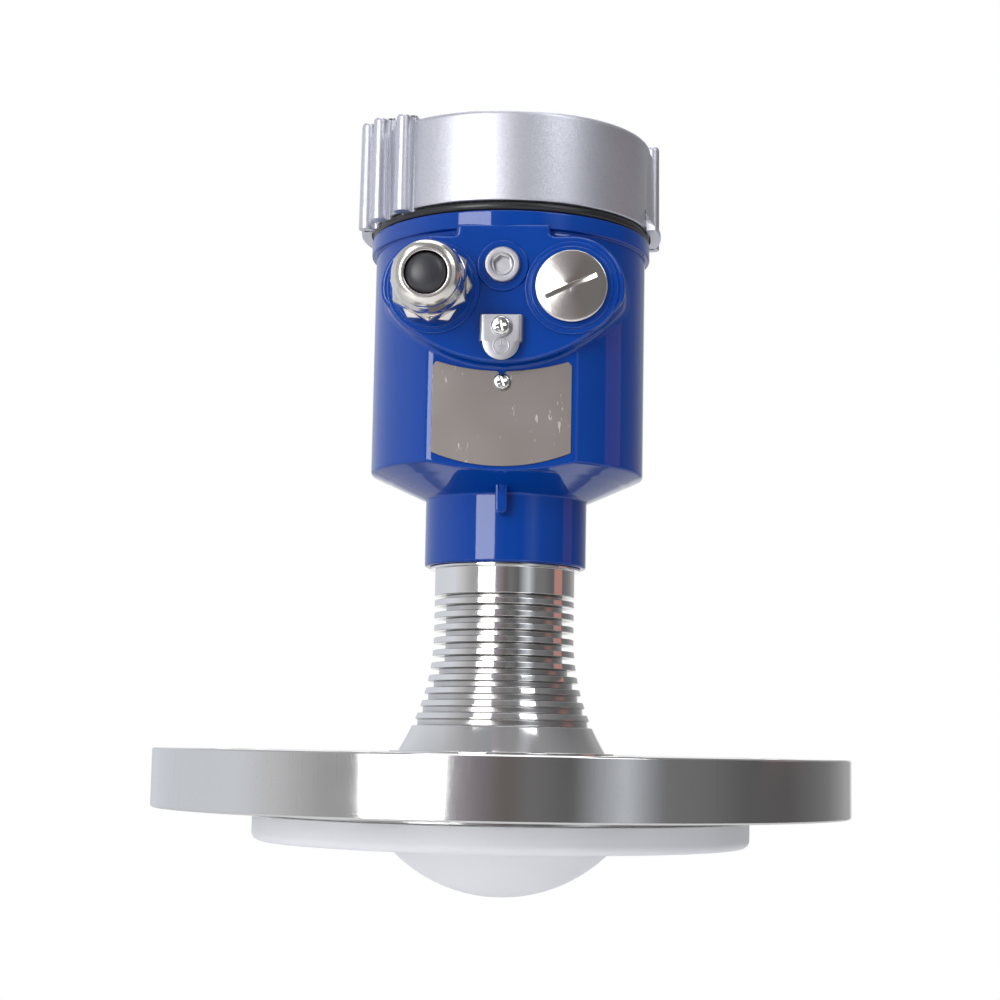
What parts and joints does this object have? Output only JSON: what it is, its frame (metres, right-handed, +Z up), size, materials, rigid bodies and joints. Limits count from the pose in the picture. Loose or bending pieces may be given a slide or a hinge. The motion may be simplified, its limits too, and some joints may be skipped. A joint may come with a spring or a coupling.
{
  "type": "radar level transmitter",
  "caption": "Flange-mounted radar level transmitter: blue swivelling housing with a screwed silver lid, cable entries, finned steel neck, steel flange and a white lens.",
  "frame": {"origin": "centre of the bolt circle on the sealing side of the flange, without its raised face", "axes": "+Z up along the neck towards the lid, -Y the front with the cable entries and the name plate, +X to the right seen from the front"},
  "size_m": [0.22, 0.22, 0.2484],
  "materials": {
    "turned_steel": "fine turned and scratched",
    "polished_steel": "polished",
    "satin_steel": "satin",
    "spring_steel": "dark oiled",
    "nickel_brass": "nickel plated",
    "bare_brass": "satin",
    "blue_enamel": "glossy",
    "silver_paint": "satin metallic",
    "ptfe": "matte",
    "rubber": "satin",
    "dust_plug": "satin",
    "nylon": "matte",
    "plate": "satin, lightly scratched",
    "case_plastic": "matte",
    "terminal_plastic": "matte",
    "board": "lacquered",
    "module_case": "satin"
  },
  "bodies": {
    "process_connection": {"flange": "turned_steel", "finned_neck": "polished_steel", "lens_disc": "ptfe", "lens_seal": "rubber", "waveguide_tube": "bare_brass", "microwave_module": "module_case", "neck_seal": "rubber", "retaining_ring": "spring_steel"},
    "housing": {"housing": "blue_enamel", "socket_plug": "satin_steel", "socket_plug_seal": "rubber", "gland_body": "nickel_brass", "gland_washer": "rubber", "earth_clamp": "satin_steel", "earth_spring_washer": "satin_steel", "earth_screw": "polished_steel", "nameplate": "plate", "nameplate_screw": "polished_steel", "electronics_case": "case_plastic", "case_screws": "polished_steel", "main_board": "board", "power_board": "board", "board_spacers": "bare_brass", "terminal_block": "terminal_plastic", "terminal_screws": "nickel_brass", "inner_earth_terminal": "satin_steel", "inner_earth_screw": "polished_steel"},
    "lid_seal": {"lid_seal": "rubber"},
    "lid": {"lid": "silver_paint"},
    "gland_insert": {"gland_seal": "rubber", "gland_clamp_ring": "nylon", "gland_dust_plug": "dust_plug"},
    "gland_nut": {"gland_nut": "nickel_brass"},
    "plug_seal": {"blanking_plug_seal": "rubber"},
    "blanking_plug": {"blanking_plug": "nickel_brass"}
  },
  "joints": [
    {"name": "housing_swivel", "type": "hinge", "parent": "process_connection", "child": "housing", "pos_m": [0, 0, 0.09], "axis": [0, 0, 1], "range_deg": [-165, 165]},
    {"name": "lid_lift", "type": "slide", "parent": "housing", "child": "lid_seal", "axis": [0, 0, 1], "range_m": [0, 0.01001]},
    {"name": "lid_turn", "type": "hinge", "parent": "lid_seal", "child": "lid", "pos_m": [0, 0, 0.2], "axis": [0, 0, 1], "range_deg": [0, 1800]},
    {"name": "gland_lift", "type": "slide", "parent": "housing", "child": "gland_insert", "axis": [0, -0.9986, -0.0523], "range_m": [0, 0.00601]},
    {"name": "gland_turn", "type": "hinge", "parent": "gland_insert", "child": "gland_nut", "pos_m": [-0.0212, -0.05658, 0.15877], "axis": [0, -0.9986, -0.0523], "range_deg": [0, 1440]},
    {"name": "plug_lift", "type": "slide", "parent": "housing", "child": "plug_seal", "axis": [0, -0.9986, -0.0523], "range_m": [0, 0.00801]},
    {"name": "plug_turn", "type": "hinge", "parent": "plug_seal", "child": "blanking_plug", "pos_m": [0.0212, -0.0476, 0.15924], "axis": [0, -0.9986, -0.0523], "range_deg": [0, 1920]}
  ],
  "couplings": [
    {"joint": "lid_lift", "follows": "lid_turn", "m_per_rad": 0.00031831},
    {"joint": "gland_lift", "follows": "gland_turn", "m_per_rad": 0.00023873},
    {"joint": "plug_lift", "follows": "plug_turn", "m_per_rad": 0.00023873}
  ]
}
